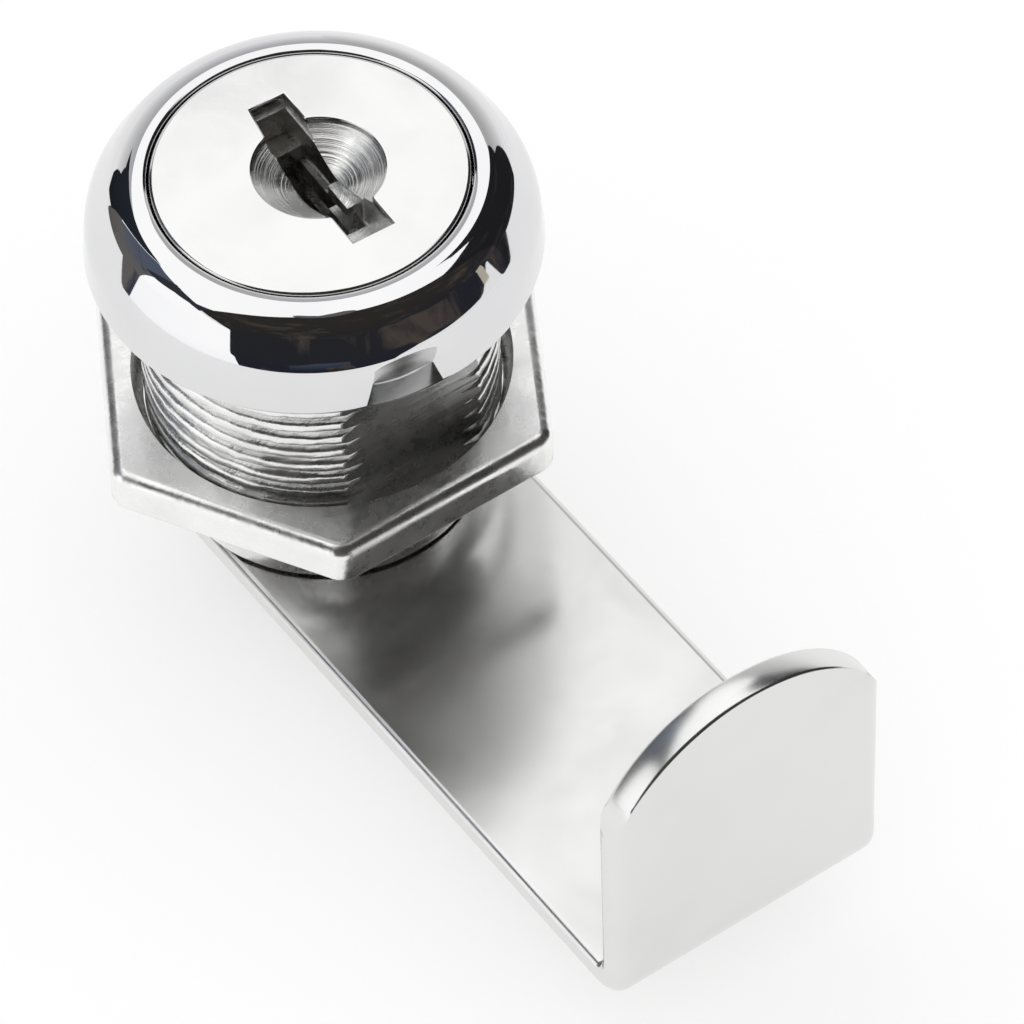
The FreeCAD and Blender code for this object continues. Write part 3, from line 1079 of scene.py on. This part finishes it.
@dataclass
class Cam:
    """The hooked cam, one strap of metal bent up at its end."""

    half_width: float = 7.8
    thickness: float = 1.6
    low: float = -18.1
    reach: float = 35.8
    top: float = 0.5
    crown_radius: float = 8.5
    shoulder_radius: float = 4.5
    bend_outer: float = 2.1
    outer_round: float = 0.75
    inner_round: float = 0.42
    rim_round: float = 0.18
    clear: float = 0.02
    hole_half: float = 3.53
    hole_chamfer: float = 0.6

    def make_bent_strap(self) -> bpy.types.Object:
        """Carries the strap's rounded section along the strap, round the bend and up the hook.

        Returns:
            The strap, square at both ends.
        """
        high = self.low + self.thickness
        lower, upper = self.outer_round, self.inner_round
        section = (bow((self.half_width - lower, self.low + lower), lower, 180, 90, 6)
                   + bow((self.half_width - upper, high - upper), upper, 90, 0, 3))
        section += [(-x, z) for x, z in reversed(section)]
        strap = chain("hooked_cam", section + section[:1])
        merge()
        bpy.ops.mesh.edge_face_add()
        far = self.half_width + 0.5
        turn = self.bend_outer - self.reach
        bpy.ops.transform.translate(value=(0, far, 0))
        bpy.ops.mesh.extrude_region_move(TRANSFORM_OT_translate={"value": (0, turn - far, 0)})
        bpy.ops.mesh.spin(steps=28, angle=math.radians(90), center=(0, turn, self.low + self.bend_outer),
                          axis=(1, 0, 0))
        bpy.ops.mesh.extrude_region_move(
            TRANSFORM_OT_translate={"value": (0, 0, self.top + 0.5 - self.low - self.bend_outer)})
        face_out()
        close()
        return strap

    def make_front_shape(self) -> bpy.types.Object:
        """The hook's outline seen from the front: straight sides and a crown.

        Returns:
            The outline, carried through the whole cam.
        """
        wide = self.half_width + self.clear
        centre = self.top - self.crown_radius
        across = wide - self.shoulder_radius
        rise = math.sqrt((self.crown_radius - self.shoulder_radius) ** 2 - across ** 2)
        lean = math.degrees(math.atan2(across, rise))
        shoulder = bow((across, centre + rise), self.shoulder_radius, 90, lean, 12)
        half = shoulder + bow((0, centre), self.crown_radius, lean, 0, 30)[1:]
        corners = [(wide, self.low - 5)] + half
        outline = corners + [(-x, z) for x, z in reversed(corners[:-1])]
        return prism("front_shape", outline, -2 * self.reach, self.reach)

    def make_plan_shape(self) -> bpy.types.Object:
        """The cam's outline seen from above: straight sides and a round end at the lock.

        Returns:
            The outline, carried through the whole cam.
        """
        wide, far = self.half_width + self.clear, -2 * self.reach
        outline = bow((0, 0), wide, 90, -90, 96) + [(-wide, far), (wide, far)]
        return upright("plan_shape", outline, self.low - 5, self.top + 5)

    def is_rim(self, edge: bmesh.types.BMEdge) -> bool:
        """Whether an edge lies between a cut round the cam and one of its broad faces.

        Args:
            edge: The edge.

        Returns:
            Whether it does, on the hook or at the round end.
        """
        if len(edge.link_faces) != 2:
            return False
        place = middle(edge)
        on_hook = place.y < 0
        if on_hook and place.z <= self.low + self.bend_outer + 1 or not on_hook and place.y <= 0.5:
            return False
        way = 1 if on_hook else 2
        low, high = sorted(abs(face.normal[way]) for face in edge.link_faces)
        return high > 0.999 and low < 0.01

    def make(self) -> bpy.types.Object:
        """Shapes the whole cam.

        Returns:
            The cam.
        """
        cam = self.make_bent_strap()
        combine(cam, self.make_front_shape(), Cut.KEEP)
        combine(cam, self.make_plan_shape(), Cut.KEEP)
        tidy(cam)
        soften(cam, self.rim_round, 3, self.is_rim)
        half, through = self.hole_half, self.low + self.thickness + 1
        hole = box("square_hole", (-half, -half, self.low - 1), (half, half, through))
        soften(hole, self.hole_chamfer, 1, lambda e: abs((e.verts[0].co - e.verts[1].co).z) > 1)
        combine(cam, hole, Cut.TAKE)
        return cam

    def dress(self, metal: bpy.types.Material) -> None:
        """Builds and finishes the cam."""
        settle(self.make(), Body.PLUG, metal, 38.0, ("cam",))


@dataclass
class Plug:
    """The plug and what is on it, smooth copies of the solids or the solids themselves."""

    springs: int = 7
    front: float = 4.65
    dish_radius: float = 3.28
    dish_slope: float = 30.0
    dish_rings: int = 16
    dish_spare: float = 0.6
    slot_end: tuple[float, float, float] = (1.12, 5.04, 2.3)  # half its width, its far and near end
    slot_floor: float = 2.5
    edge_round: float = 0.05
    small_round: float = 0.08
    wire: float = 0.11
    coils: int = 6
    lift: float = 0.8

    def make_copy(self, node: str, name: str) -> bpy.types.Object:
        """A merged copy of a solid's mesh, in millimetres.

        Args:
            node: The solid's node.
            name: The copy's name.

        Returns:
            The copy.
        """
        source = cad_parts[node]
        copy = bpy.data.objects.new(name, source.data.copy())
        bpy.context.scene.collection.objects.link(copy)
        only(copy)
        copy.scale = (1 / MM, 1 / MM, 1 / MM)
        bpy.ops.object.transform_apply(location=False, rotation=False, scale=True)
        bpy.ops.mesh.customdata_custom_splitnormals_clear()
        tidy(copy, 0.001, 0.5)
        return copy

    def make_plug(self) -> bpy.types.Object:
        """The plug with its dish turned afresh and the edges of its keyway broken.

        Returns:
            The plug.
        """
        plug = self.make_copy("plug", "turned_plug")
        climb = math.tan(math.radians(self.dish_slope))
        wide = self.dish_radius + self.dish_spare
        radii = [wide * ring / self.dish_rings for ring in range(self.dish_rings + 1)]
        slope = [(radius, self.front + (radius - self.dish_radius) * climb) for radius in radii]
        dish = turned("dish", slope + [(0, slope[-1][1])], 256)
        place_tool(dish, KEYHOLE_OFFSET)
        combine(plug, dish, Cut.TAKE)
        half, reach, inner = self.slot_end
        slot_end = box("slot_end", (-half, -reach, self.slot_floor), (half, -inner, self.front + 1))
        place_tool(slot_end, KEYHOLE_OFFSET, KEYHOLE_TURN)
        combine(plug, slot_end, Cut.TAKE)
        soften(plug, self.edge_round, 2, self.is_lip, True)
        return plug

    def is_lip(self, edge: bmesh.types.BMEdge) -> bool:
        """Whether an edge lies between the dish or the face and a wall that goes down.

        Args:
            edge: The edge.

        Returns:
            Whether it does.
        """
        place, climbs = middle(edge), sorted(face.normal.z for face in edge.link_faces)
        apex = self.front - self.dish_radius * math.tan(math.radians(self.dish_slope))
        return (len(climbs) == 2 and climbs[0] < 0.2 and climbs[1] > 0.8
                and apex < place.z < self.front + 0.01
                and math.hypot(place.x - KEYHOLE_OFFSET, place.y) < self.dish_radius + 0.1)

    def make_rounded(self, node: str, name: str) -> bpy.types.Object:
        """A copy of a solid with its sharp edges broken.

        Args:
            node: The solid's node.
            name: The copy's name.

        Returns:
            The copy.
        """
        copy = self.make_copy(node, name)
        apply(copy, "BEVEL", width=self.small_round, segments=3, limit_method="ANGLE",
              angle_limit=math.radians(40), use_clamp_overlap=True)
        edit(copy)
        merge(0.001)
        close()
        return copy

    def make_spring(self, node: str, name: str) -> bpy.types.Object:
        """Winds a spring of round wire where a solid's spring is.

        Args:
            node: The solid's node.
            name: The spring's name.

        Returns:
            The spring, its wire's ends closed.
        """
        low, high = (Vector(corner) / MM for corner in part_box(node))
        middle_place = (low + high) / 2
        coil = (high.x - low.x) / 2 - self.wire
        length = high.y - low.y - 2 * self.wire
        bpy.ops.object.select_all(action="DESELECT")
        bpy.ops.mesh.primitive_circle_add(vertices=10, radius=self.wire, location=(coil, 0, 0))
        spring = named(name)
        apply(spring, "SCREW", axis="Y", screw_offset=length / self.coils, iterations=self.coils,
              steps=20, render_steps=20, use_merge_vertices=False)
        edit(spring)
        merge(0.002)
        bpy.ops.mesh.fill_holes(sides=0)
        face_out()
        bpy.ops.transform.translate(value=(middle_place.x, low.y + self.wire, middle_place.z))
        close()
        return spring

    def dress(self, turned_metal: bpy.types.Material, steel: bpy.types.Material,
              spring_metal: bpy.types.Material, wafer_metal: bpy.types.Material) -> None:
        """Finishes the plug, its washers, screw, springs and wafers.

        Args:
            turned_metal: For the plug.
            steel: For the stop washer and the screw.
            spring_metal: For the snap ring, the lock washer and the springs.
            wafer_metal: For the wafers.
        """
        settle(self.make_plug(), Body.PLUG, turned_metal, 30.0, ("plug",))
        for node, name, slot, metal in (
                ("stop_washer", "stop_plate", "plated_steel", steel),
                ("cam_screw", "hexagon_screw", "plated_steel", steel),
                ("snap_ring", "round_clip", "spring_steel", spring_metal),
                ("lock_washer", "toothed_washer", "spring_steel", spring_metal)):
            settle(self.make_rounded(node, name), Body.PLUG, metal, 35.0, (node,))
        for number in range(1, self.springs + 1):
            finish_node(f"wafer_{number}", wafer_metal)
            node = f"wafer_spring_{number}"
            spring = self.make_spring(node, f"coil_spring_{number}")
            settle(spring, Body.PLUG, spring_metal, 60.0, (node,))
            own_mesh(spring)


@dataclass
class Studio:
    """Floor, background, cards and lamps, and the camera."""

    floor_level: float = -22.2
    floor_size: float = 6000.0
    floor_grey: float = 0.50
    floor_glow: float = 0.52
    azimuth: float = -33.917
    elevation: float = 50.659
    roll: float = -2.084
    distance: float = 386.202
    shift_right: float = 9.689
    shift_up: float = -13.61
    target_level: float = 0.471
    focal: float = 277.74
    sensor: float = 36.0

    def axes(self) -> tuple[Vector, Vector, Vector]:
        """The camera's directions.

        Returns:
            Its right, its up and its back.
        """
        azimuth, elevation, roll = (
            math.radians(angle) for angle in (self.azimuth, self.elevation, self.roll))
        back = Vector((math.sin(azimuth) * math.cos(elevation), -math.cos(azimuth) * math.cos(elevation),
                       math.sin(elevation)))
        right = Vector((math.cos(azimuth), math.sin(azimuth), 0))
        up = back.cross(right)
        return (right * math.cos(roll) + up * math.sin(roll),
                up * math.cos(roll) - right * math.sin(roll), back)

    def add_camera(self) -> None:
        """Adds the camera at the picture's viewing angle."""
        data = bpy.data.cameras.new("camera")
        data.sensor_width = self.sensor
        data.lens = self.focal
        data.clip_start = 0.01
        data.clip_end = 20.0
        camera = bpy.data.objects.new("camera", data)
        bpy.context.scene.collection.objects.link(camera)
        right, up, back = self.axes()
        place = (back * self.distance + right * self.shift_right + up * self.shift_up
                 + Vector((0, 0, self.target_level))) * MM
        turn = Matrix((right, up, back)).transposed().to_4x4()
        camera.matrix_world = Matrix.Translation(place) @ turn
        bpy.context.scene.camera = camera

    def add_floor(self) -> None:
        """Adds the pale floor, which looks white where a mirrored or a direct ray meets it unshaded."""
        bpy.ops.object.select_all(action="DESELECT")
        bpy.ops.mesh.primitive_plane_add(size=self.floor_size * MM,
                                         location=(0, 0, self.floor_level * MM))
        floor = bpy.context.object
        floor.name = "floor"
        bpy.ops.object.transform_apply(location=True, rotation=True, scale=True)
        material = bpy.data.materials.new("pale_floor")
        material.use_nodes = True
        tree = material.node_tree
        shader = tree.nodes["Principled BSDF"]
        shader.inputs["Base Color"].default_value = (*3 * (self.floor_grey,), 1)
        shader.inputs["Roughness"].default_value = 0.9
        shader.inputs["Specular IOR Level"].default_value = 0.1
        shader.inputs["Emission Color"].default_value = (1, 1, 1, 1)
        path = tree.nodes.new("ShaderNodeLightPath")
        seen = maths(tree, "ADD", path.outputs["Is Camera Ray"], path.outputs["Is Glossy Ray"])
        seen = maths(tree, "ADD", seen, path.outputs["Is Transmission Ray"], clamp=True)
        glow = maths(tree, "MULTIPLY", seen, self.floor_glow)
        tree.links.new(glow, shader.inputs["Emission Strength"])
        floor.data.materials.append(material)

    def add_world(self) -> None:
        """A plain white surround."""
        world = bpy.data.worlds.new("studio")
        world.use_nodes = True
        world.node_tree.nodes["Background"].inputs["Color"].default_value = (1, 1, 1, 1)
        world.node_tree.nodes["Background"].inputs["Strength"].default_value = 1.0
        bpy.context.scene.world = world

    def add_card(self, card: "Card") -> None:
        """Curves a card round the lock, which only the metal mirrors.

        Args:
            card: Its stations, as seen from the lock, and its colours.
        """
        corners, faces = [], []
        stations = card.columns()
        for azimuth, low, high in stations:
            turn = math.radians(self.azimuth + azimuth - 90)
            for row in range(CARD_ROWS + 1):
                climb = math.radians(low + (high - low) * row / CARD_ROWS)
                corners.append(card.distance * MM * Vector((
                    math.cos(climb) * math.cos(turn), math.cos(climb) * math.sin(turn),
                    math.sin(climb))))
        for column in range(len(stations) - 1):
            for row in range(CARD_ROWS):
                first = column * (CARD_ROWS + 1) + row
                faces.append((first, first + 1, first + CARD_ROWS + 2, first + CARD_ROWS + 1))
        data = bpy.data.meshes.new(card.name)
        data.from_pydata(corners, [], faces)
        sheet = bpy.data.objects.new(card.name, data)
        bpy.context.scene.collection.objects.link(sheet)
        data.materials.append(card.make_material())
        sheet.visible_camera = False
        sheet.visible_diffuse = False
        sheet.visible_shadow = False

    def set_up(self) -> None:
        """Builds the whole studio."""
        bpy.context.scene.view_settings.view_transform = "Standard"
        self.add_camera()
        self.add_floor()
        self.add_world()
        for card in CARDS:
            self.add_card(card)


@dataclass(frozen=True)
class Card:
    """A curved card of the studio, seen in the metal only.

    Each station says how far it is from the camera's side, in degrees, and its lowest and highest
    angle over the floor. The low colour turns into the high one over the angles in reach.
    """

    name: str
    stations: tuple[tuple[float, float, float], ...]
    distance: float
    low_colour: Colour
    high_colour: Colour
    patches: Colour | None = None
    reach: tuple[float, float] = (0.0, 60.0)

    def columns(self) -> list[tuple[float, float, float]]:
        """The stations with even ones between them.

        Returns:
            All of them in order.
        """
        columns = [self.stations[0]]
        for here, there in zip(self.stations, self.stations[1:]):
            steps = max(1, math.ceil((there[0] - here[0]) / CARD_STEP))
            columns += [tuple(a + (b - a) * step / steps for a, b in zip(here, there))
                        for step in range(1, steps + 1)]
        return columns

    def make_material(self) -> bpy.types.Material:
        """Builds the card's glow: one colour at its foot, one at its head, and blotches.

        Returns:
            The material.
        """
        material = bpy.data.materials.new(self.name)
        material.use_nodes = True
        tree = material.node_tree
        shader = tree.nodes["Principled BSDF"]
        shader.inputs["Base Color"].default_value = (0, 0, 0, 1)
        shader.inputs["Roughness"].default_value = 1.0
        shader.inputs["Specular IOR Level"].default_value = 0.0
        shader.inputs["Emission Strength"].default_value = 1.0
        place = tree.nodes.new("ShaderNodeTexCoord").outputs["Object"]
        apart = tree.nodes.new("ShaderNodeSeparateXYZ")
        tree.links.new(place, apart.inputs[0])
        foot, head = (self.distance * MM * math.sin(math.radians(angle)) for angle in self.reach)
        climb = ramp(tree, apart.outputs[2], foot, 1 / (head - foot))
        colour = mix(tree, climb, self.low_colour, self.high_colour)
        if self.patches:
            cloud = noise(tree, place, PATCH_WAVE, 5.0, 0.65, 0.8)
            colour = mix(tree, ramp(tree, cloud, 0.53, 7.0), colour, self.patches)
        tree.links.new(colour, shader.inputs["Emission Color"])
        return material


CARD_ROWS = 14
CARD_STEP = 3.0
PATCH_WAVE = 4.5
LAMP_WHITE = (1.28, 1.28, 1.28)
NEAR_BLACK = (0.016, 0.016, 0.018)
CARDS = (
    Card("sky_card", ((-180, 44, 90), (180, 44, 90)), 760.0, LAMP_WHITE, LAMP_WHITE),
    Card("soft_box", ((-91, -3, 30), (-80, -3, 38), (-68, -3, 38), (-60, -3, 33), (-50, -3, 24),
                      (-40, -3, 17), (-31, -3, 2)), 740.0, (1.22, 1.22, 1.24), LAMP_WHITE, reach=(0.0, 15.0)),
    Card("ceiling_card", ((-62, 37, 89), (-50, 28, 89), (-42, 19, 89), (-36, 10, 89), (-33, -4, 89),
                          (-20, -7, 89), (0, -8, 89), (28, -7, 89), (36, 1, 89), (45, 5, 89), (90, 5, 89),
                          (94, -2, 89), (98, -3, 89)),
         640.0, (0.018, 0.021, 0.030), (0.030, 0.027, 0.024), (0.075, 0.062, 0.055), (0.0, 50.0)),
    Card("side_card", ((98, -3, 89), (104, -3, 60), (130, -2, 58), (134, 4, 57), (138, 10, 56),
                       (150, 36, 60), (164, 44, 59)),
         640.0, NEAR_BLACK, NEAR_BLACK, (0.035, 0.035, 0.033)),
    Card("zenith_card", ((-125, 85, 90), (150, 82, 90)), 620.0, (0.12, 0.12, 0.12), (0.12, 0.12, 0.12)),
    Card("stripe_card", ((-96, 30, 53), (-88, 32, 51), (-80, 38, 49), (-70, 38, 45), (-61, 33, 50)), 640.0,
         (0.035, 0.037, 0.045), (0.035, 0.037, 0.045)),
    Card("blue_card", ((-122, -3, 54), (-90, -3, 52)), 660.0, (0.14, 0.135, 0.13), (0.09, 0.11, 0.16),
         (0.045, 0.05, 0.07), (10.0, 45.0)),
    Card("pale_strip", ((-124, -3, 30), (-113, -3, 24)), 650.0, (0.12, 0.11, 0.10), (0.16, 0.16, 0.17)),
    Card("black_card", ((-158, 39, 45), (-150, 37, 48), (-142, 30, 50), (-136, 10, 52), (-130, 2, 54),
                        (-123, 8, 55)), 640.0, (0.012, 0.014, 0.014), (0.02, 0.024, 0.034)),
    Card("back_left_card", ((-181, -3, 46), (-124, -3, 50)), 720.0, (1.0, 1.0, 1.0), (0.50, 0.50, 0.51),
         reach=(14.0, 46.0)),
    Card("back_right_card", ((136, -3, 44), (158, -3, 44), (181, -3, 46)), 720.0, (1.0, 1.0, 1.0),
         (0.50, 0.50, 0.50), reach=(8.0, 40.0)),
    Card("window_card", ((83, 5, 12), (87, 4, 14)), 600.0, (0.55, 0.50, 0.42), (0.40, 0.34, 0.28)),
    Card("brown_card", ((-12, 4, 10), (0, 3, 14), (14, 5, 12)), 600.0, (0.02, 0.024, 0.04),
         (0.06, 0.075, 0.11), (0.12, 0.08, 0.06), (3.0, 14.0)),
)


def main() -> None:
    """Builds and dresses the lock, then its studio."""
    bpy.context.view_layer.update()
    effects = Effects(make_ripple(), make_smear(), make_rings(), make_streaks())
    barrel_metal = BARREL_PLATE.make(effects)
    Housing().dress(HEAD_CHROME.make(effects), barrel_metal)
    Nut().dress(NUT_PLATE.make(effects))
    FaceCap().dress(CAP_POLISH.make(effects))
    Cam().dress(CAM_PLATE.make(effects))
    Plug().dress(DISH_METAL.make(effects), STEEL.make(effects), SPRING_STEEL.make(effects),
                 WAFER_METAL.make(effects))
    Studio().set_up()


if __name__ == "__main__":
    main()
